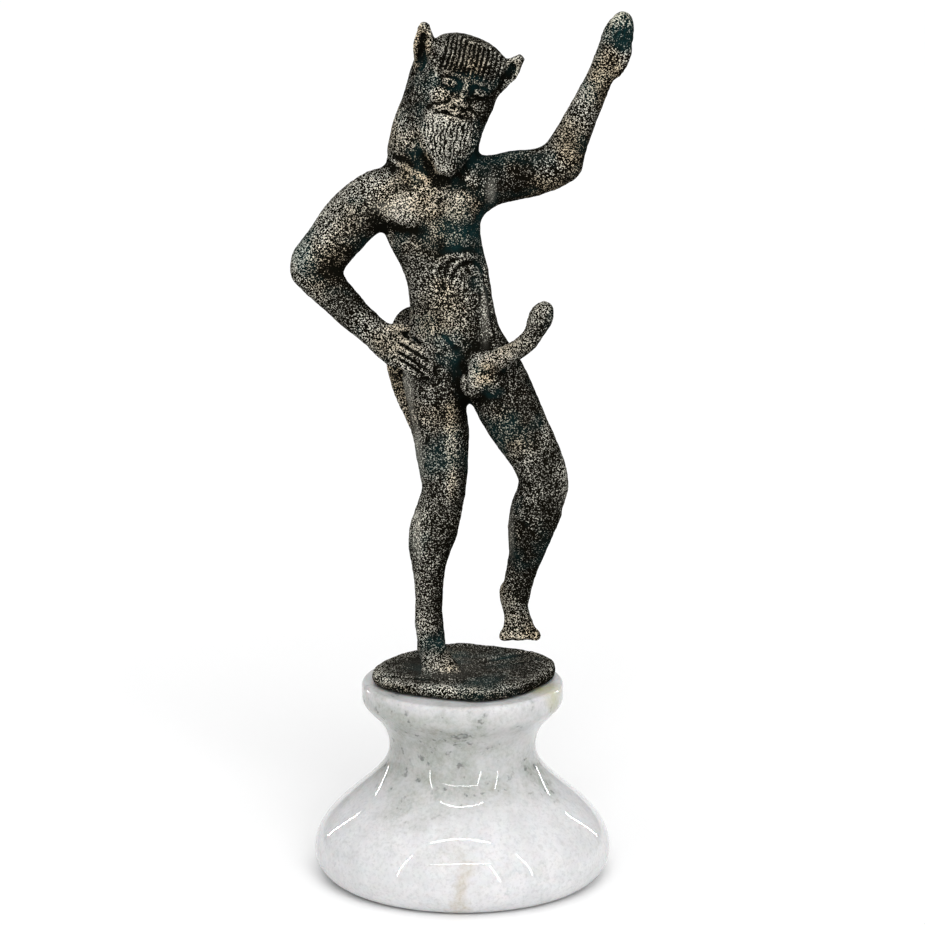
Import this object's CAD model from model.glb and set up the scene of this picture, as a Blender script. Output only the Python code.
"""Looks of the pan statuette: the cast, patinated bronze and the polished marble, in a plain white studio.

The figure is carved on its own grid in millimetres, whose zero is the middle of the plate's top. Everything
else is in metres, in the CAD model's frame: +Z up, with the figure facing -Y.
"""

import math

import bmesh
import bpy
import numpy as np
from mathutils import Matrix, Vector, noise
from mathutils.bvhtree import BVHTree


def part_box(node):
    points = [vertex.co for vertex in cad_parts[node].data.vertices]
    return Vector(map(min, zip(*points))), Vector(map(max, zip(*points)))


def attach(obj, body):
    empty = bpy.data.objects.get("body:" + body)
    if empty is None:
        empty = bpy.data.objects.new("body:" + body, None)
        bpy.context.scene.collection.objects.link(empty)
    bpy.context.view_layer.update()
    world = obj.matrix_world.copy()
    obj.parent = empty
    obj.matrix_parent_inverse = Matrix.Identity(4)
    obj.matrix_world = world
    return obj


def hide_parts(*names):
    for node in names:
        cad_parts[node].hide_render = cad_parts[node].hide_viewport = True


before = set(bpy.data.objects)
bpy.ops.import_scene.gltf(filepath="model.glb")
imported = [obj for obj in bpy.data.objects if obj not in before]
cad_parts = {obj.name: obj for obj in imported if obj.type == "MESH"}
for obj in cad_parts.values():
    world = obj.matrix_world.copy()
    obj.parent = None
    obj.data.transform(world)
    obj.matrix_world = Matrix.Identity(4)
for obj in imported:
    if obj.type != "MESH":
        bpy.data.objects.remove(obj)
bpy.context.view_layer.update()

MM = 0.001

# The figure's grid: its zero is the plate's top
PLATE_THICKNESS = 3.4
PLATE_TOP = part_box("pan_figure")[0].z / MM + PLATE_THICKNESS

# How the head is held, as in the CAD model, and its hair
HEAD_CENTRE = Vector((-0.3, -0.2, 149.6))
HEAD_LEAN = math.radians(20)
HEAD_TURN = math.radians(9)
HEAD_BOW = math.radians(6)
HEAD_PLACE = (Matrix.Translation(HEAD_CENTRE) @ Matrix.Rotation(HEAD_LEAN, 4, "Y")
              @ Matrix.Rotation(HEAD_TURN, 4, "Z") @ Matrix.Rotation(HEAD_BOW, 4, "X"))
FRINGE_LOCKS = 13
FRINGE_HALF_WIDTH = 7.8
MOUSTACHE_HAIRS = 3
BEARD_LOCKS = 15
BEARD_TURN = math.radians(82)
BEARD_SWAY = 0.035

# Mesh of the bronze: its cells, how often it is smoothed, and by centre and radii where it is finer
WELD = 1e-7
SKIN_VOXEL = 0.63
PLAIN_SMOOTHING = 7
FINE_SMOOTHING = 2
FINE_REGIONS = (
    ((0, -7, 146), (15, 10, 19)),
    ((-12, -9, 83), (9, 6, 8)),
    ((38, -3, 158), (7, 8, 8)),
    ((-5, -8, 2), (6, 7, 4)),
    ((14, -9, 10), (5, 7, 4)),
    ((2, -9, 99), (7, 5, 12)),
)

# Strokes: points to each part of a path and their spacing along it, how many widths they reach,
# and how far in front of the skin the viewer's look at it starts
CURVE_STEPS = 6
STEP_ALONG_STROKE = 0.25
STROKE_REACH = 3
VIEW_START = 60

# The casting's unevenness: size of its cells and its depth
CAST_TEXTURES = ((4.0, 0.16), (1.0, 0.12))

# Hollows: their value on even skin, then how often the skin is smoothed to find them and their
# full depth, near and wide
EVEN_SKIN = 0.4
NEAR_ROUNDS = 10
NEAR_HOLLOW = 0.2
WIDE_ROUNDS = 90
WIDE_HOLLOW = 0.8

# Wear grows with how much the skin faces this way, down to the least that counts, from an offset
RUBBED_FROM = (-0.62, -0.68, 0.40)
LEAST_FACING = -0.25
WEAR_BY_FACING = 0.9
WEAR_OFFSET = -0.8

# Where the patina is more rubbed or darker than elsewhere: centre, radii, amount
WEAR_SPOTS = (
    # Head and beard
    ((-12, -4, 149), (5, 7, 12), -0.5), ((-10, -2, 157), (3, 5, 6), 0.7),
    ((12.6, -2, 152), (3, 5, 4), 0.7), ((-4, -12, 137), (8, 8, 9), 0.85),
    # Body
    ((-13, -8, 128), (7, 6, 3), 0.6), ((-8, -10, 120), (14, 7, 8), 0.35),
    ((-15, -8, 123), (8, 6, 5), 0.2), ((-12, -8, 110), (8, 6, 4), -0.4),
    ((2, -10, 98), (9, 7, 11), 0.3), ((0, -8, 82.6), (4, 6, 4), -0.2),
    ((4.4, -12, 77.4), (3, 5, 3), 0.7), ((-17, 8, 92), (6, 7, 6), -0.5),
    # Raised arm
    ((13, -2, 125.6), (13, 12, 8), -0.9), ((20, -3, 123), (4, 6, 4), 0.7),
    ((32, 0, 140), (10, 10, 12), -0.1), ((36, -2, 148), (4, 7, 9), 0.3),
    ((37.5, -2, 164.5), (4, 8, 3), 0.7), ((39.2, -4, 159.5), (2.6, 5, 3.5), -0.7),
    # Bent arm
    ((-20.6, -5, 115), (5, 6, 4), -0.3), ((-24, -2, 106), (9, 10, 22), -0.3),
    ((-31, -4, 95), (12, 10, 12), -0.4), ((-14, -8, 86), (9, 8, 5), 0.5),
    # Standing leg
    ((-7, -4, 60), (11, 14, 18), -0.35), ((-2.5, -8, 56), (2.2, 6, 17), 0.8),
    ((-7, -4, 26), (9, 12, 16), -0.3), ((-4.9, -9, 3.5), (5, 6, 4), 0.5),
    # Raised leg
    ((8, -10, 67), (7, 12, 8), -0.65), ((21.5, -9, 68), (3, 10, 9), 0.6),
    ((18, -8, 60), (9, 10, 14), -0.2), ((25.5, -6, 49), (3, 10, 11), 0.9),
    ((20, -6, 42), (6, 12, 14), -0.5), ((13, -6, 33), (6, 12, 16), -0.9),
    ((14.4, -8, 9), (5, 9, 3), 0.5),
    # Plate: its top, its upper edge and its foot
    ((0, 0, 0.7), (30, 30, 1.2), -0.35), ((0, 0, -0.5), (30, 30, 0.7), 0.3),
    ((0, 0, -2.6), (30, 30, 1.8), -0.8),
)

# Where verdigris is seen
GREEN_SPOTS = (
    ((0, -10, 148), (9, 8, 7), 0.5), ((-9, -7, 149), (4, 6, 8), 0.7),
    ((1, -8, 122), (9, 6, 6), 0.2), ((0, -8, 111.6), (10, 6, 5), 0.8),
    ((-13, -8, 110), (7, 6, 4), 0.6), ((-3, -9, 87), (3, 5, 3), 0.7),
    ((7, -13, 73), (4, 5, 3), 0.7), ((16, -3, 131), (8, 8, 5), 0.8),
    ((39.2, -4, 159.5), (3, 5, 4), 0.8), ((22, -5, 39), (5, 10, 14), 0.7),
    ((0, 0, 0.7), (30, 30, 1.4), 0.2),
)

# Where the rubbed bronze is more golden
WARM_SPOTS = (
    ((-10.4, -2, 157), (3, 5, 7), 1.0), ((12.8, -2, 152), (3, 5, 4), 1.0),
    ((-13, -8, 128), (8, 6, 4), 0.9), ((-12, -8, 124), (9, 8, 6), 0.35),
    ((-5, -10, 94), (8, 6, 9), 0.4), ((4.4, -12, 77.4), (4, 6, 4), 0.9),
    ((20, -3, 123), (5, 6, 5), 1.0), ((26, -2, 131), (5, 6, 9), 0.7),
    ((36, -2, 148), (4, 7, 10), 0.8), ((37.5, -2, 164.5), (4, 8, 4), 0.6),
    ((-14, -8, 86), (10, 8, 6), 0.6), ((-15, 9, 70), (5, 6, 14), 0.9),
    ((-2.5, -8, 56), (2.5, 6, 17), 0.8), ((-4.9, -9, 3.5), (6, 7, 5), 0.7),
    ((14.4, -8, 9), (8, 10, 6), 0.9), ((0, 0, -2.2), (30, 30, 1.5), 0.7),
)

# Streaks, and the plate's top, that are paler between the flecks
SHEEN_SPOTS = (
    ((7.0, -5, 122.3), (1.2, 4, 3.2), 0.45), ((-13.4, -4, 71), (1.6, 2.6, 8), 0.6),
    ((-11.2, -4, 54), (1.5, 2.6, 12), 0.6), ((-11.8, -4, 35), (1.5, 2.6, 11), 0.55),
    ((5.6, -6, 91), (1.2, 5, 7), 0.35), ((-17, -8, 118.4), (5, 5, 1.6), 0.35),
    ((11.9, -6, 37), (1.0, 5, 9), 0.4), ((0, 0, 0.9), (30, 30, 1.1), 0.22),
)

# The bronze's noises, in cells to the metre
NET_CELLS = 2900
WORM_CELLS = 1850
COARSE_CELLS = 420
PATCH_CELLS = 110
VERDIGRIS_CELLS = 70
WARMTH_CELLS = 60

# The bronze's colours, between which relief it turns to a fleck, and the depth of its grain
DARK_GROUND = (0.0045, 0.0035, 0.002)
VERDIGRIS_GROUND = (0.005, 0.021, 0.022)
SHEEN_GROUND = (0.27, 0.26, 0.225)
RUBBED_BRONZE = (0.86, 0.83, 0.72)
GOLDEN_BRONZE = (0.90, 0.75, 0.53)
RUBBED_VERDIGRIS = (0.32, 0.52, 0.49)
FLECK_EDGE = (0.557, 0.575)
GRAIN_DEPTH = 0.16 * MM

# Marble base, as in the CAD model
BASE_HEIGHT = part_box("marble_base")[1].z
BELLY_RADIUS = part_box("marble_base")[1].x
FOOT_RADIUS = 30.9 * MM
BELLY_HEIGHT = 7.4 * MM
NECK_RADIUS = 18.6 * MM
NECK_HEIGHT = 34.0 * MM
RIM_RADIUS = 25.5 * MM
RIM_BAND = 4.0 * MM
RIM_ROUND = 1.2 * MM

# Reach of the profile's curves, as shares of the belly's rise and of the rim's flare
ABOVE_BELLY = 0.41
BELOW_NECK = 0.35
ABOVE_NECK = 0.6
BELOW_RIM = 0.27

# Fineness of the turned marble
FOOT_STEPS = 14
BELLY_STEPS = 32
FLARE_STEPS = 18
EDGE_STEPS = 8
TURNED_SEGMENTS = 160
SHARP_EDGE = math.radians(40)

# The marble's noises, in cells to the metre
CLOUD_CELLS = 60
DRIFT_CELLS = 160
GRAIN_CELLS = 1100
SPECK_CELLS = 420

# The marble's colours
WHITE_MARBLE = (0.70, 0.70, 0.705)
GREY_MARBLE = (0.61, 0.61, 0.62)
GRAIN_GREY = (0.46, 0.46, 0.47)
NECK_GREY = (0.40, 0.405, 0.385)
CLOUD_GREY = (0.33, 0.345, 0.31)
SPECK_GREY = (0.16, 0.165, 0.16)
VEIN_BROWN = (0.46, 0.40, 0.30)
STAIN_YELLOW = (0.50, 0.49, 0.24)

# The brown vein, and the middle and size of the yellow stain beside the plate
VEIN_HALF_WIDTH = 3 * MM
STAIN_PLACE = (21.5 * MM, -9 * MM, 51 * MM)
STAIN_CORE = 2 * MM
STAIN_REACH = 7 * MM

# Suns: azimuth and elevation, strength, and softness in degrees
SUNS = {"key": (-8, 36, 2.0, 45), "overhead": (0, 84, 1.15, 60)}
SKY_STRENGTH = 0.40
FLOOR_REACH = 5.0
FLOOR_GREY = 0.93

# Bright edges of the softboxes: azimuth and elevation of both ends, and width in millimetres
STRIP_AIM = Vector((0, 0, 0.02))
STRIP_DISTANCE = 0.9
STRIP_RADIANCE = 28
STRIPS = {
    "front_left": ((50, 8), (54, 50), 14),
    "front_top": ((34, 42), (-27, 46), 11),
    "front_right": ((-54, 8), (-58, 50), 14),
    "front_inner": ((-25, 43), (-28, 5), 14),
    "over_front": ((50, 66), (-46, 67), 9),
    "back_left": ((136, 5), (133, 27), 14),
    "back_right": ((-136, 5), (-133, 27), 14),
}

# The photograph's camera
AIM = Vector((0, 0, 0.1074))
CAMERA_DISTANCE = 1.0
CAMERA_ELEVATION = math.radians(13)
VIEW_WAY = Vector((0, math.cos(CAMERA_ELEVATION), -math.sin(CAMERA_ELEVATION)))
SENSOR = 36.0
FOCAL_PIXELS = 4000
PHOTO_WIDTH = 925


def placed(name, data):
    """A new object in the scene that holds this mesh, light or camera."""
    made = bpy.data.objects.new(name, data)
    bpy.context.scene.collection.objects.link(made)
    return made


def smooth_rows(rows, steps):
    """Rows along a Catmull-Rom curve through the rows given, with steps between each two."""
    rows = np.array(rows, float)
    held = np.vstack([2 * rows[0] - rows[1], rows, 2 * rows[-1] - rows[-2]])
    found = []
    for a, b, c, d in zip(held, held[1:], held[2:], held[3:]):
        for t in np.arange(steps) / steps:
            found.append(0.5 * (2 * b + (c - a) * t + (2 * a - 5 * b + 4 * c - d) * t * t
                                + (3 * b - a - 3 * c + d) * t ** 3))
    return np.array(found + [rows[-1]])


def moved(rows, across, up):
    """The points moved to the viewer's right and up."""
    return [(x + across, y, z + up) for x, y, z in rows]


def in_head(rows, side=1):
    """Points given on the head's own upright grid, mirrored to a side if asked, moved to the figure's."""
    return [tuple(HEAD_PLACE @ Vector((side * x, y, z))) for x, y, z in rows]


class Casting:
    """The bronze's skin on the figure's grid, and the strokes that carve it."""

    def __init__(self, node):
        self.mesh = self.fine_skin(node)
        count = len(self.mesh.vertices)
        self.points = np.empty(count * 3)
        self.mesh.vertices.foreach_get("co", self.points)
        self.points = self.points.reshape(-1, 3)
        edges = np.empty(len(self.mesh.edges) * 2, int)
        self.mesh.edges.foreach_get("vertices", edges)
        self.edges = edges.reshape(-1, 2)
        self.neighbours = np.bincount(edges, minlength=count)
        fine = self.in_fine_regions(self.points)
        self.points = self.relaxed(np.where(fine, 0.0, 0.5), PLAIN_SMOOTHING)
        self.points = self.relaxed(np.where(fine, 0.5, 0.0), FINE_SMOOTHING)
        self.normals = self.facing(self.points)
        self.uncarved = self.points.copy()
        faces = [face.vertices for face in self.mesh.polygons]
        self.tree = BVHTree.FromPolygons(self.points.tolist(), faces)

    @staticmethod
    def in_fine_regions(points):
        """Which of the points lie where the mesh is finer and carved, not smooth."""
        inside = [(((points - centre) / radii) ** 2).sum(axis=1) < 1 for centre, radii in FINE_REGIONS]
        return np.any(inside, axis=0)

    @staticmethod
    def fine_skin(node):
        """The node's mesh on the figure's grid, remeshed evenly, and finer where the detail is."""
        work = bmesh.new()
        work.from_mesh(node.data)
        bmesh.ops.remove_doubles(work, verts=work.verts, dist=WELD)
        to_grid = Matrix.Translation((0, 0, -PLATE_TOP)) @ Matrix.Scale(1 / MM, 4)
        bmesh.ops.transform(work, verts=work.verts, matrix=to_grid)
        mesh = bpy.data.meshes.new("lump")
        work.to_mesh(mesh)
        work.free()
        lump = placed("lump", mesh)
        skin = lump.modifiers.new("skin", "REMESH")
        skin.mode = "VOXEL"
        skin.voxel_size = SKIN_VOXEL
        graph = bpy.context.evaluated_depsgraph_get()
        made = bpy.data.meshes.new_from_object(lump.evaluated_get(graph))
        bpy.data.objects.remove(lump)
        work = bmesh.new()
        work.from_mesh(made)
        fine = Casting.in_fine_regions(np.array([vertex.co for vertex in work.verts]))
        edges = [edge for edge in work.edges if all(fine[vertex.index] for vertex in edge.verts)]
        bmesh.ops.subdivide_edges(work, edges=edges, cuts=1, use_grid_fill=True)
        work.to_mesh(made)
        work.free()
        return made

    def relaxed(self, share, rounds):
        """The points moved by their share towards the middle of their neighbours, so many times."""
        points = self.points.copy()
        share = np.broadcast_to(share, len(points))[:, None]
        ends, others = self.edges.ravel(), self.edges[:, ::-1].ravel()
        for _ in range(rounds):
            middle = np.column_stack([
                np.bincount(ends, weights=points[others, axis], minlength=len(points)) for axis in range(3)
            ]) / self.neighbours[:, None]
            points += share * (middle - points)
        return points

    def facing(self, points):
        """The normals of the skin at these points."""
        self.mesh.vertices.foreach_set("co", points.ravel())
        self.mesh.update()
        normals = np.empty(points.size)
        self.mesh.vertices.foreach_get("normal", normals)
        return normals.reshape(-1, 3)

    def on_skin(self, path, seen):
        """The path's curve laid closely spaced on the skin: straight back from the viewer if seen."""
        path = smooth_rows(path, CURVE_STEPS)
        along = np.append(0, np.cumsum(np.linalg.norm(np.diff(path, axis=0), axis=1)))
        marks = np.linspace(0, along[-1], max(2, int(along[-1] / STEP_ALONG_STROKE)))
        even = np.column_stack([np.interp(marks, along, path[:, i]) for i in range(3)])
        laid = []
        for point in even:
            hit = self.tree.ray_cast(Vector(point) - VIEW_WAY * VIEW_START, VIEW_WAY)[0] if seen else None
            laid.append(hit or self.tree.find_nearest(Vector(point))[0])
        return np.array(laid)

    def stroke(self, path, width, push, fade=0.2, seen=False):
        """Presses a rounded groove, or with a positive push raises a ridge, that fades out at its ends."""
        path = self.on_skin(path, seen)
        reach = STROKE_REACH * width
        low, high = path.min(0) - reach, path.max(0) + reach
        near = np.flatnonzero(np.all((self.uncarved > low) & (self.uncarved < high), axis=1))
        away = np.linalg.norm(self.uncarved[near, None] - path[None], axis=2)
        nearest = away.argmin(axis=1)
        share = nearest / max(1, len(path) - 1)
        ends = np.clip(np.minimum(share, 1 - share) / fade, 0, 1) if fade else 1.0
        away = away[np.arange(len(near)), nearest]
        self.points[near] += (self.normals[near].T * push * ends * np.exp(-(away / width) ** 2)).T

    def dab(self, centre, radii, push, place=Matrix.Identity(4), turn=0.0):
        """Raises or presses a soft oval whose centre and radii are given in that place."""
        placing = place @ Matrix.Translation(centre) @ Matrix.Rotation(turn, 4, "Y")
        inverse = np.array(placing.inverted())
        local = self.uncarved @ inverse[:3, :3].T + inverse[:3, 3]
        away = ((local / radii) ** 2).sum(axis=1)
        self.points += self.normals * (push * np.exp(-away ** 2))[:, None]

    def cast_texture(self, cell, depth):
        """Small rises and hollows all over, with cells of that size."""
        heights = np.array([noise.noise(Vector(point) / cell) for point in self.uncarved])
        self.points += self.normals * heights[:, None] * depth

    def hollows(self):
        """How far each point lies below its surroundings, near and wide, from 0 on a crest to 1."""
        normals = self.facing(self.points)
        near = ((self.relaxed(0.5, NEAR_ROUNDS) - self.points) * normals).sum(axis=1)
        wide = ((self.relaxed(0.5, WIDE_ROUNDS) - self.points) * normals).sum(axis=1)
        deep = near / (2 * NEAR_HOLLOW) + np.maximum(wide, 0) / (2 * WIDE_HOLLOW)
        return np.clip(EVEN_SKIN + deep, 0, 1)

    def wear(self):
        """How rubbed each point is, by the way it faces and by its place."""
        facing = self.facing(self.points) @ np.array(RUBBED_FROM)
        return self.in_spots(WEAR_SPOTS) + WEAR_BY_FACING * np.clip(facing, LEAST_FACING, 1) + WEAR_OFFSET

    def in_spots(self, spots):
        """The spots' amounts at each point, fading out from each centre."""
        found = np.zeros(len(self.points))
        for centre, radii, amount in spots:
            away = (((self.points - centre) / radii) ** 2).sum(axis=1)
            found += amount * np.exp(-away ** 2)
        return found

    def note(self, name, values):
        """Keeps a number for each point, which the material reads by name."""
        self.mesh.attributes.new(name, "FLOAT", "POINT").data.foreach_set("value", values)

    def finished(self, low, high):
        """The carved mesh in metres, kept inside the CAD solid's box."""
        self.note("hollow", self.hollows())
        self.note("wear", self.wear())
        self.note("green", self.in_spots(GREEN_SPOTS))
        self.note("warm", self.in_spots(WARM_SPOTS))
        self.note("sheen", self.in_spots(SHEEN_SPOTS))
        points = np.clip(self.points * MM + (0, 0, PLATE_TOP * MM), low, high)
        self.mesh.vertices.foreach_set("co", points.ravel())
        self.mesh.update()
        self.mesh.shade_smooth()
        return self.mesh


def carve_ears(casting):
    """A deep hollow in each ear, and a rim round it that closes over the tip."""
    hollows = (
        ((-9.4, -2, 160.6), (-9.8, -2, 158.8), (-10.1, -2, 156.3), (-10.2, -2, 153.0)),
        ((13.0, -2, 152.9), (12.3, -2, 151.9), (11.6, -2, 150.6), (10.9, -2, 148.8)),
    )
    rims = (
        ((-11.3, -2, 153.0), (-11.6, -2, 156.6), (-11.0, -2, 160.2)),
        ((-8.0, -2, 161.4), (-7.6, -2, 158.6)),
        ((10.4, -2, 152.8), (11.6, -2, 153.9), (12.6, -2, 154.5)),
        ((14.0, -2, 152.6), (13.2, -2, 150.9), (11.9, -2, 148.6)),
    )
    for path in hollows:
        casting.stroke(path, width=0.75, push=-1.5, fade=0.15, seen=True)
    for path in rims:
        casting.stroke(path, width=0.45, push=0.45, fade=0.3, seen=True)
    casting.dab((-9.4, -2, 162.0), radii=(1.7, 3.0, 1.5), push=0.5)
    casting.dab((14.0, -2, 153.6), radii=(1.6, 3.0, 1.5), push=0.45)


def carve_fringe(casting):
    """Combed locks over the forehead."""
    fall = ((-4.5, 10.4), (-7.0, 8.8), (-8.8, 6.8), (-9.4, 4.4), (-9.6, 2.4))
    for i in range(FRINGE_LOCKS + 1):
        x = FRINGE_HALF_WIDTH * (2 * i / FRINGE_LOCKS - 1)
        lock = in_head([(x, y, z) for y, z in fall])
        casting.stroke(lock, width=0.38, push=-0.8, fade=0.1, seen=True)


def carve_face(casting):
    """Brows, eyes, cheeks, nose, moustache and mouth, on the head's own grid."""
    brow = ((0.9, -9.9, 1.2), (3.6, -10, 2.3), (6.8, -8.6, 1.2))
    upper_lid = ((1.6, -9.4, -0.6), (3.9, -9.9, 1.0), (6.3, -8.2, -0.3))
    lower_lid = ((1.6, -9.4, -0.7), (3.9, -9.6, -1.3), (6.2, -8.2, -0.4))
    pupil = ((3.8, -9.9, 0.0), (4.0, -9.9, -0.2))
    cheek_fold = ((1.8, -10.2, -3.2), (3.2, -9.4, -5.0), (4.8, -8.2, -6.6))
    nostril = ((0.8, -11.2, -4.9), (1.3, -10.8, -5.0))
    nose = ((0, -9.6, 2.4), (0, -10.8, -0.8), (0, -11.6, -3.6))
    mouth = ((-2.8, -9.3, -7.8), (0, -10.0, -8.1), (2.8, -9.3, -7.8))
    lower_lip = ((-1.6, -9.3, -9.2), (0, -9.8, -9.0), (1.6, -9.3, -9.2))
    for side in (-1, 1):
        socket, ball = (side * 3.9, -9.0, 0.1), (side * 3.9, -9.2, -0.1)
        cheek, nose_wing = (side * 5.0, -8.0, -4.0), (side * 1.4, -10.3, -4.0)
        casting.dab(socket, radii=(2.9, 3.0, 1.8), push=-0.9, place=HEAD_PLACE)
        casting.dab(ball, radii=(1.9, 3.0, 1.0), push=1.1, place=HEAD_PLACE)
        casting.stroke(in_head(brow, side), width=0.6, push=0.6)
        casting.stroke(in_head(upper_lid, side), width=0.3, push=0.45)
        casting.stroke(in_head(lower_lid, side), width=0.3, push=0.4)
        casting.stroke(in_head(pupil, side), width=0.35, push=-0.45, fade=0)
        casting.dab(cheek, radii=(2.2, 3.0, 2.0), push=0.5, place=HEAD_PLACE)
        casting.stroke(in_head(cheek_fold, side), width=0.45, push=-0.35)
        casting.dab(nose_wing, radii=(0.9, 2.0, 0.8), push=0.5, place=HEAD_PLACE)
        casting.stroke(in_head(nostril, side), width=0.35, push=-0.6, fade=0)
        for i in range(MOUSTACHE_HAIRS):
            hair = ((0.3, -10.4, -5.6 - 0.8 * i), (2.6, -9.8, -6.2 - 0.8 * i), (5.0, -8.6, -8.0 - 0.7 * i))
            casting.stroke(in_head(hair, side), width=0.25, push=-0.4)
    casting.stroke(in_head(nose), width=0.7, push=0.7)
    casting.stroke(in_head(mouth), width=0.35, push=-0.8)
    casting.stroke(in_head(lower_lip), width=0.45, push=0.5)


def carve_beard(casting):
    """Fine wavy locks down the beard, whose rows give its middle, half width and depth."""
    beard = ((-2.0, -5.5, 141, 7.2, 5.3), (-3.0, -6.4, 138, 7.5, 5.5), (-3.5, -6.9, 134.8, 7.3, 5.1),
             (-3.7, -7.2, 131.4, 6.0, 4.5), (-3.8, -7.4, 128.8, 4.0, 3.6))
    rows = smooth_rows(beard, 4)[1:]
    for i in range(BEARD_LOCKS + 1):
        turn = BEARD_TURN * (2 * i / BEARD_LOCKS - 1)
        lock = []
        for j, (x, y, z, across, deep) in enumerate(rows):
            sway = turn + BEARD_SWAY * math.sin(1.3 * j + 0.8 * i)
            lock.append((x + across * math.sin(sway), y - deep * math.cos(sway), z))
        casting.stroke(lock, width=0.3, push=-0.5, fade=0.12)


def carve_neckline(casting):
    """The ridge where the hair meets the shoulder, and the groove above it."""
    ridge = ((-18.1, -7, 130.8), (-14.3, -8, 129.0), (-10.8, -8.5, 126.8), (-7.4, -9, 124.6))
    groove = ((-17.6, -7, 132.0), (-13.6, -8, 130.2), (-10.0, -8.5, 128.2), (-6.8, -9, 125.6))
    casting.stroke(ridge, width=0.6, push=0.8, seen=True)
    casting.stroke(groove, width=0.5, push=-0.35, seen=True)
    casting.dab((-5.4, -9, 124.8), radii=(2.2, 4, 1.8), push=-0.7)


def carve_front(casting):
    """Chest, ribs, belly and groin."""
    casting.dab((-11.0, -8.0, 118.6), radii=(5.0, 4.0, 2.6), push=0.35, turn=0.3)
    casting.dab((-14.6, -8.0, 112.0), radii=(6.0, 4.0, 3.4), push=-0.35, turn=0.3)
    rib = ((-6.7, -8.5, 105.1), (-5.5, -8.5, 107.1), (-3.1, -8.5, 108.1), (1.0, -8.5, 108.3),
           (5.2, -8.5, 108.1))
    casting.stroke(rib, width=0.8, push=-0.5, seen=True)
    casting.stroke(moved(rib, 0, -1.6), width=0.6, push=0.5, seen=True)
    arch = ((-2.8, -8.5, 99.4), (-2.2, -8.5, 102.0), (0.1, -8.5, 104.5), (3.0, -8.5, 105.1),
            (4.7, -8.5, 103.9), (5.5, -8.5, 101.2), (6.0, -8.5, 96.6))
    casting.stroke(arch, width=0.6, push=-0.9, fade=0.15, seen=True)
    over_arch = moved(arch[1:3], -0.9, 0.9) + moved(arch[3:5], 0.4, 0.9)
    casting.stroke(over_arch, width=0.6, push=0.35, seen=True)
    flank = ((6.1, -8.5, 99.4), (6.7, -8.5, 94.6), (7.4, -8, 90.0), (8.4, -7.5, 85.6))
    casting.stroke(flank, width=0.55, push=-0.8, seen=True)
    beside_flank = ((5.0, -8.5, 101.6), (5.3, -8.5, 96.0), (5.7, -8.5, 90.6))
    casting.stroke(beside_flank, width=0.8, push=0.5, seen=True)
    groin = ((-5.5, -8, 87.6), (-2.6, -8, 84.2), (-0.6, -8, 81.6))
    casting.stroke(groin, width=0.7, push=-0.4, seen=True)
    inner_thigh = ((0.6, -6, 79.4), (0.8, -7, 75.0), (1.0, -6, 70.6))
    casting.stroke(inner_thigh, width=0.8, push=-0.8, seen=True)
    phallus_rim = ((18.4, -23, 91.4), (20.0, -23, 90.8), (21.6, -20, 91.6))
    casting.stroke(phallus_rim, width=0.5, push=-0.5)


def carve_back(casting):
    """The spine, and the line between the buttocks."""
    spine = ((-7.6, 9.5, 124), (-7.4, 9.5, 116), (-5.0, 8.3, 106), (-3.0, 8.2, 97), (-2.2, 9.6, 88))
    casting.stroke(spine, width=1.0, push=-0.5)
    casting.stroke(((-1.6, 11.5, 84), (-1.5, 12, 78), (-1.2, 10, 71)), width=0.8, push=-0.6)


def carve_tail(casting):
    """Short slanting tufts down the tail behind the thigh."""
    tail = ((-16.6, 9.9, 81.4), (-16.6, 9.6, 75.4), (-14.9, 9.3, 68.6), (-12.9, 8.8, 63.4),
            (-11.3, 8.3, 58.8))
    for x, y, z in smooth_rows(tail, 4):
        for side in (-1, 1):
            tuft = ((x - 2.6, y - side, z - 1.2), (x, y - 2.4 * side, z), (x + 2.6, y - side, z + 1.0))
            casting.stroke(tuft, width=0.35, push=-0.45)


def carve_hands(casting):
    """Lines between the fingers of both hands, and the thumb of the hand on the hip."""
    thumb = ((-15.0, -9, 87.6), (-12.6, -9, 86.4), (-10.0, -9, 84.2))
    casting.stroke(thumb, width=0.55, push=-1.1, seen=True)
    between_fingers = (
        ((-16.4, -9, 85.4), (-7.4, -9, 79.8)),
        ((-16.6, -9, 83.2), (-8.2, -9, 77.6)),
        ((-15.6, -9, 81.0), (-9.2, -9, 76.6)),
    )
    for path in between_fingers:
        casting.stroke(path, width=0.36, push=-0.8, fade=0.15, seen=True)
    for shift in (-1.9, 0.0, 1.9):
        knuckle, tip = 37.6 + 0.9 * shift, 38.6 + shift
        casting.stroke([(knuckle, -6, 158.4), (tip, -6, 165)], width=0.3, push=-0.15, fade=0.3)
        casting.stroke([(knuckle, 1, 157.4), (tip, 0, 165)], width=0.3, push=-0.3, fade=0.15)
    casting.dab((39.2, -4, 159.5), radii=(2.4, 5, 3.4), push=-0.35)
    raised_thumb = ((40.6, -5, 158.6), (40.9, -5, 156.4), (40.2, -5, 154.0))
    casting.stroke(raised_thumb, width=0.45, push=-0.6, seen=True)


def carve_raised_foot(casting):
    """The foot's flare to both sides."""
    casting.dab((10.2, -8, 9.2), radii=(1.8, 5, 2.0), push=0.6)
    casting.dab((18.6, -8, 9.4), radii=(1.8, 5, 2.0), push=0.7)


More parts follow.
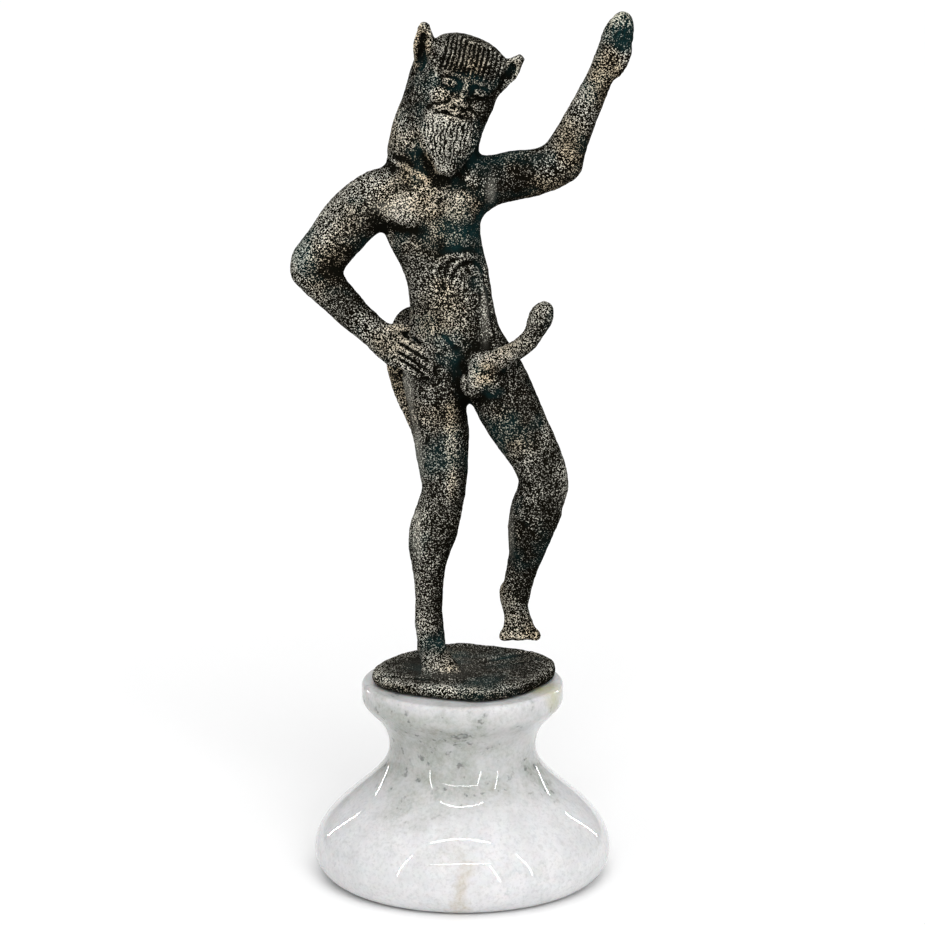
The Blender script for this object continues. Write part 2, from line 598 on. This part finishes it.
def carve_plate(casting):
    """The low ridge with a groove beside it, and the shallow step, on the plate's top."""
    ridge = ((2.6, 3.0, 0), (9.6, 7.9, 0), (14.7, 11.4, 0), (18.6, 13.3, 0))
    groove = ((3.4, 2.2, 0), (10.4, 7.0, 0), (15.5, 10.5, 0))
    step = ((-21.0, -7.4, 0), (-17.7, -9.4, 0), (-13.0, -11.4, 0), (-6.0, -13.4, 0))
    casting.stroke(ridge, width=0.5, push=0.6)
    casting.stroke(groove, width=0.6, push=-0.35)
    casting.stroke(step, width=0.7, push=-0.6)
    casting.dab((-4, -3, 0), radii=(7, 7, 2), push=0.25)


class Shader:
    """Adds nodes to one material's Principled shader and links them."""

    def __init__(self, name):
        self.material = bpy.data.materials.new(name)
        self.material.use_nodes = True
        self.tree = self.material.node_tree
        self.principled = self.tree.nodes["Principled BSDF"]

    def node(self, kind, inputs=None, **settings):
        made = self.tree.nodes.new(kind)
        for key, value in settings.items():
            setattr(made, key, value)
        for name, value in (inputs or {}).items():
            self.connect(made.inputs[name], value)
        return made

    def connect(self, socket, value):
        if isinstance(value, bpy.types.NodeSocket):
            self.tree.links.new(value, socket)
        else:
            socket.default_value = value

    def feed(self, name, value):
        self.connect(self.principled.inputs[name], value)

    def set(self, name, value):
        self.principled.inputs[name].default_value = value

    def place(self):
        """Coordinates in metres on the piece itself."""
        return self.node("ShaderNodeTexCoord").outputs["Object"]

    def noted(self, name):
        """The number that the mesh keeps for each point under that name."""
        return self.node("ShaderNodeAttribute", attribute_name=name).outputs["Fac"]

    def noise(self, place, scale, detail, roughness, seed=0.0):
        return self.node("ShaderNodeTexNoise", {
            "Vector": place, "W": seed, "Scale": scale, "Detail": detail, "Roughness": roughness,
        }, noise_dimensions="4D").outputs["Fac"]

    def ranged(self, value, low, high, to_low, to_high):
        """The value's way from low to high, held at both ends, as a way between two others."""
        return self.node("ShaderNodeMapRange", {
            "Value": value, "From Min": low, "From Max": high, "To Min": to_low, "To Max": to_high,
        }).outputs["Result"]

    def sum(self, a, b):
        return self.math("ADD", a, b)

    def product(self, a, b):
        return self.math("MULTIPLY", a, b)

    def absolute(self, value):
        return self.math("ABSOLUTE", value, 0)

    def math(self, operation, a, b):
        made = self.node("ShaderNodeMath", operation=operation)
        self.connect(made.inputs[0], a)
        self.connect(made.inputs[1], b)
        return made.outputs[0]

    def mixed(self, share, a, b):
        """Colour a with that share of colour b."""
        made = self.node("ShaderNodeMix", {"Factor": share}, data_type="RGBA")
        colours = [socket for socket in made.inputs if socket.type == "RGBA"]
        for socket, value in zip(colours, (a, b)):
            self.connect(socket, value if isinstance(value, bpy.types.NodeSocket) else (*value, 1))
        return next(socket for socket in made.outputs if socket.type == "RGBA")

    def bump(self, height, strength, distance):
        return self.node("ShaderNodeBump", {
            "Height": height, "Strength": strength, "Distance": distance,
        }).outputs["Normal"]


def bronze_material():
    """Near-black bronze with verdigris in its hollows and a dense net of rubbed, pale flecks on its rises."""
    made = Shader("patinated_bronze")
    place = made.place()
    hollow, wear, green, warm, sheen = map(made.noted, ("hollow", "wear", "green", "warm", "sheen"))

    # A fine net broken up by winding lines, lifted by wear and sunk in hollows
    net = made.noise(place, NET_CELLS, 1.0, 0.5)
    worms = made.absolute(made.sum(made.noise(place, WORM_CELLS, 1.0, 0.5, 6.0), -0.5))
    coarse = made.noise(place, COARSE_CELLS, 2.0, 0.5, 2.0)
    relief = made.sum(net, made.ranged(worms, 0, 0.12, 0.05, -0.07))
    lift = made.sum(made.ranged(coarse, 0.3, 0.7, -0.014, 0.014), made.ranged(hollow, 0.2, 0.9, 0.05, -0.10))
    lift = made.sum(lift, made.ranged(wear, -1.8, 1, -0.152, 0.05))
    flecks = made.ranged(made.sum(relief, lift), *FLECK_EDGE, 0, 1)

    # Rubbed in patches, and less in hollows
    patch = made.noise(place, PATCH_CELLS, 3.0, 0.6)
    rubbing = made.product(made.ranged(made.sum(patch, made.product(wear, 0.16)), 0.3, 0.64, 0.3, 1),
                           made.ranged(hollow, 0.35, 0.9, 1, 0.25))
    flecks = made.product(flecks, rubbing)

    # Verdigris, gold and the pale streaks
    drift = made.noise(place, VERDIGRIS_CELLS, 3.0, 0.6, 4.0)
    verdigris = made.product(made.ranged(made.sum(drift, made.product(green, 0.16)), 0.52, 0.68, 0.05, 1),
                             made.ranged(hollow, 0.3, 0.6, 0.5, 1))
    warmth = made.noise(place, WARMTH_CELLS, 2.0, 0.5, 9.0)
    gold = made.ranged(made.sum(warmth, made.product(warm, 0.22)), 0.52, 0.72, 0, 1)
    streak = made.product(sheen, made.ranged(net, 0.35, 0.6, 0.25, 1))

    ground = made.mixed(verdigris, DARK_GROUND, VERDIGRIS_GROUND)
    ground = made.mixed(streak, ground, SHEEN_GROUND)
    rubbed = made.mixed(gold, RUBBED_BRONZE, GOLDEN_BRONZE)
    rubbed = made.mixed(made.product(verdigris, 0.6), rubbed, RUBBED_VERDIGRIS)
    made.feed("Base Color", made.mixed(flecks, ground, rubbed))
    made.feed("Metallic", made.ranged(flecks, 0, 1, 0.0, 0.2))
    made.feed("Roughness", made.ranged(flecks, 0, 1, 0.45, 0.42))
    made.set("Specular IOR Level", 0.0)
    made.feed("Normal", made.bump(relief, 0.8, GRAIN_DEPTH))
    return made.material


def marble_material():
    """White marble, clouded and specked grey round its neck, with one brown vein and one yellow stain."""
    made = Shader("white_marble")
    place = made.place()
    across, back, height = made.node("ShaderNodeSeparateXYZ", {"Vector": place}).outputs
    cloud = made.noise(place, CLOUD_CELLS, 5.0, 0.6)
    drift = made.noise(place, DRIFT_CELLS, 4.0, 0.65, 5.0)
    grain = made.noise(place, GRAIN_CELLS, 3.0, 0.7, 3.0)
    speck = made.noise(place, SPECK_CELLS, 2.0, 0.6, 7.0)

    # Clouding gathers round the neck, and less to the viewer's right
    neck = made.product(made.ranged(height, 19 * MM, 30 * MM, 0, 1),
                        made.ranged(height, 47 * MM, 50 * MM, 1, 0.4))
    neck = made.product(neck, made.ranged(across, -5 * MM, 20 * MM, 1, 0.55))
    murk = made.product(made.ranged(made.sum(cloud, made.product(neck, 0.23)), 0.54, 0.70, 0, 1),
                        made.ranged(drift, 0.38, 0.56, 0.25, 1))
    murk = made.product(murk, made.ranged(grain, 0.35, 0.6, 0.45, 1))
    murk = made.product(murk, made.ranged(height, 18 * MM, 28 * MM, 0.3, 1))
    colour = made.mixed(made.ranged(drift, 0.35, 0.65, 0, 1), WHITE_MARBLE, GREY_MARBLE)
    colour = made.mixed(made.ranged(grain, 0.48, 0.66, 0, 0.5), colour, GRAIN_GREY)
    colour = made.mixed(made.product(neck, 0.55), colour, NECK_GREY)
    colour = made.mixed(murk, colour, CLOUD_GREY)
    dots = made.product(made.ranged(speck, 0.59, 0.66, 0, 0.8), made.ranged(murk, 0.05, 0.5, 0.12, 1))
    colour = made.mixed(dots, colour, SPECK_GREY)

    # The vein climbs the front of the foot, and wanders with the clouding
    bend = made.absolute(made.sum(across, made.ranged(cloud, 0.3, 0.7, -4 * MM, 6 * MM)))
    low_in_front = made.product(made.ranged(height, 10 * MM, 20 * MM, 1, 0),
                                made.ranged(back, -20 * MM, -30 * MM, 0, 1))
    vein = made.product(made.ranged(bend, 0, VEIN_HALF_WIDTH, 1, 0), low_in_front)
    vein = made.product(made.product(vein, 0.65), made.ranged(grain, 0.3, 0.6, 0.4, 1))
    colour = made.mixed(vein, colour, VEIN_BROWN)

    # The stain fades out from its middle
    apart = made.node("ShaderNodeVectorMath", {0: place, 1: STAIN_PLACE}, operation="DISTANCE")
    away = apart.outputs["Value"]
    stain = made.product(made.ranged(away, STAIN_CORE, STAIN_REACH, 0.8, 0),
                         made.ranged(drift, 0.35, 0.6, 0.3, 1))
    colour = made.mixed(stain, colour, STAIN_YELLOW)
    made.feed("Base Color", colour)
    made.feed("Roughness", made.ranged(grain, 0.3, 0.7, 0.02, 0.04))
    made.set("Subsurface Weight", 0.2)
    made.set("Subsurface Scale", 2 * MM)
    return made.material


def arc(centre_radius, centre_height, across, up, start, end, steps):
    """Points of an elliptical arc in the profile, by angle in degrees from straight outwards."""
    turns = np.radians(np.linspace(start, end, steps + 1))
    return [(centre_radius + across * math.cos(t), centre_height + up * math.sin(t)) for t in turns]


def sweep_curve(a, b, c, d, steps):
    """Points after a along the Bezier curve with handles b and c, up to d."""
    a, b, c, d = (np.array(p) for p in (a, b, c, d))
    return [tuple((1 - t) ** 3 * a + 3 * t * (1 - t) ** 2 * b + 3 * t * t * (1 - t) * c + t ** 3 * d)
            for t in np.arange(1, steps + 1) / steps]


def base_profile():
    """Radius and height from the foot, over the belly and the waist, to the rim."""
    under_band = BASE_HEIGHT - RIM_BAND
    rise = NECK_HEIGHT - BELLY_HEIGHT
    flare = under_band - NECK_HEIGHT
    profile = arc(FOOT_RADIUS, BELLY_HEIGHT, BELLY_RADIUS - FOOT_RADIUS, BELLY_HEIGHT, -90, 0, FOOT_STEPS)
    profile += sweep_curve((BELLY_RADIUS, BELLY_HEIGHT), (BELLY_RADIUS, BELLY_HEIGHT + ABOVE_BELLY * rise),
                           (NECK_RADIUS, NECK_HEIGHT - BELOW_NECK * rise), (NECK_RADIUS, NECK_HEIGHT),
                           BELLY_STEPS)
    profile += sweep_curve((NECK_RADIUS, NECK_HEIGHT), (NECK_RADIUS, NECK_HEIGHT + ABOVE_NECK * flare),
                           (RIM_RADIUS, under_band - BELOW_RIM * flare), (RIM_RADIUS, under_band),
                           FLARE_STEPS)
    profile += arc(RIM_RADIUS - RIM_ROUND, BASE_HEIGHT - RIM_ROUND, RIM_ROUND, RIM_ROUND, 0, 90, EDGE_STEPS)
    return profile


def turned_marble():
    """The turned base's mesh, smooth all round."""
    turned = bmesh.new()
    rings = [
        [turned.verts.new((radius * math.cos(t), radius * math.sin(t), height))
         for t in 2 * math.pi * np.arange(TURNED_SEGMENTS) / TURNED_SEGMENTS]
        for radius, height in base_profile()
    ]
    for lower, upper in zip(rings, rings[1:]):
        for i in range(TURNED_SEGMENTS):
            j = (i + 1) % TURNED_SEGMENTS
            turned.faces.new((lower[i], lower[j], upper[j], upper[i]))
    turned.faces.new(rings[0][::-1])
    turned.faces.new(rings[-1])
    mesh = bpy.data.meshes.new("polished_marble_base")
    turned.to_mesh(mesh)
    turned.free()
    mesh.shade_smooth()
    mesh.set_sharp_from_angle(angle=SHARP_EDGE)
    return mesh


def carved_bronze():
    """The casting's mesh with all its relief."""
    casting = Casting(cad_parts["pan_figure"])
    carve_ears(casting)
    carve_fringe(casting)
    carve_face(casting)
    carve_beard(casting)
    carve_neckline(casting)
    carve_front(casting)
    carve_back(casting)
    carve_tail(casting)
    carve_hands(casting)
    carve_raised_foot(casting)
    carve_plate(casting)
    for cell, depth in CAST_TEXTURES:
        casting.cast_texture(cell, depth)
    low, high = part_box("pan_figure")
    return casting.finished(low, high)


def piece(name, mesh, finish, node):
    """Puts a piece in place of its CAD node."""
    made = placed(name, mesh)
    mesh.materials.clear()
    mesh.materials.append(finish)
    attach(made, "root")
    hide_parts(node)


def floor():
    """A plain pale floor, which is no part of the model."""
    mesh = bpy.data.meshes.new("floor")
    corners = [(x * FLOOR_REACH, y * FLOOR_REACH, 0) for x, y in ((-1, -1), (1, -1), (1, 1), (-1, 1))]
    mesh.from_pydata(corners, [], [(0, 1, 2, 3)])
    finish = Shader("studio_floor")
    finish.set("Base Color", (FLOOR_GREY, FLOOR_GREY, FLOOR_GREY, 1))
    finish.set("Roughness", 0.9)
    mesh.materials.append(finish.material)
    placed("floor", mesh)


def way(azimuth, elevation):
    """A direction: azimuth 0 is the viewer's side and 90 the viewer's left, in degrees."""
    a, e = math.radians(azimuth), math.radians(elevation)
    return Vector((-math.sin(a) * math.cos(e), -math.cos(a) * math.cos(e), math.sin(e)))


def strip(name, start, end, width):
    """A softbox's bright edge: a thin light between two directions, seen only in what is glossy."""
    start, end = (STRIP_AIM + way(*ends) * STRIP_DISTANCE for ends in (start, end))
    middle, along = (start + end) / 2, (end - start).normalized()
    facing = (middle - STRIP_AIM).normalized()
    facing = (facing - along * facing.dot(along)).normalized()
    data = bpy.data.lights.new(name, "AREA")
    data.shape = "RECTANGLE"
    data.size = (end - start).length
    data.size_y = width * MM
    data.energy = STRIP_RADIANCE * math.pi * data.size * data.size_y
    made = placed(name, data)
    turned = Matrix((along, facing.cross(along), facing)).transposed().to_4x4()
    made.matrix_world = Matrix.Translation(middle) @ turned
    made.visible_diffuse = False


def sun(name, azimuth, elevation, strength, softness):
    """A soft light from far off that leaves no bright disc in what is glossy."""
    data = bpy.data.lights.new(name, "SUN")
    data.energy = strength
    data.angle = math.radians(softness)
    made = placed(name, data)
    made.rotation_mode = "QUATERNION"
    made.rotation_quaternion = way(azimuth, elevation).to_track_quat("Z", "Y")
    made.visible_glossy = False


def studio():
    """A white surround, two soft suns and the softboxes' edges."""
    world = bpy.data.worlds.new("white_studio")
    world.use_nodes = True
    sky = world.node_tree.nodes["Background"].inputs
    sky["Color"].default_value = (1, 1, 1, 1)
    sky["Strength"].default_value = SKY_STRENGTH
    bpy.context.scene.world = world
    bpy.context.scene.view_settings.view_transform = "Standard"
    for name, (azimuth, elevation, strength, softness) in SUNS.items():
        sun(name, azimuth, elevation, strength, softness)
    for name, (start, end, width) in STRIPS.items():
        strip(name, start, end, width)


def camera():
    """The camera at the photograph's angle."""
    data = bpy.data.cameras.new("photo")
    data.sensor_width = SENSOR
    data.lens = SENSOR * FOCAL_PIXELS / PHOTO_WIDTH
    made = placed("photo", data)
    made.location = AIM - VIEW_WAY * CAMERA_DISTANCE
    made.rotation_mode = "QUATERNION"
    made.rotation_quaternion = VIEW_WAY.to_track_quat("-Z", "Y")
    bpy.context.scene.camera = made


camera()
piece("bronze_pan", carved_bronze(), bronze_material(), "pan_figure")
piece("marble_stand", turned_marble(), marble_material(), "marble_base")
floor()
studio()
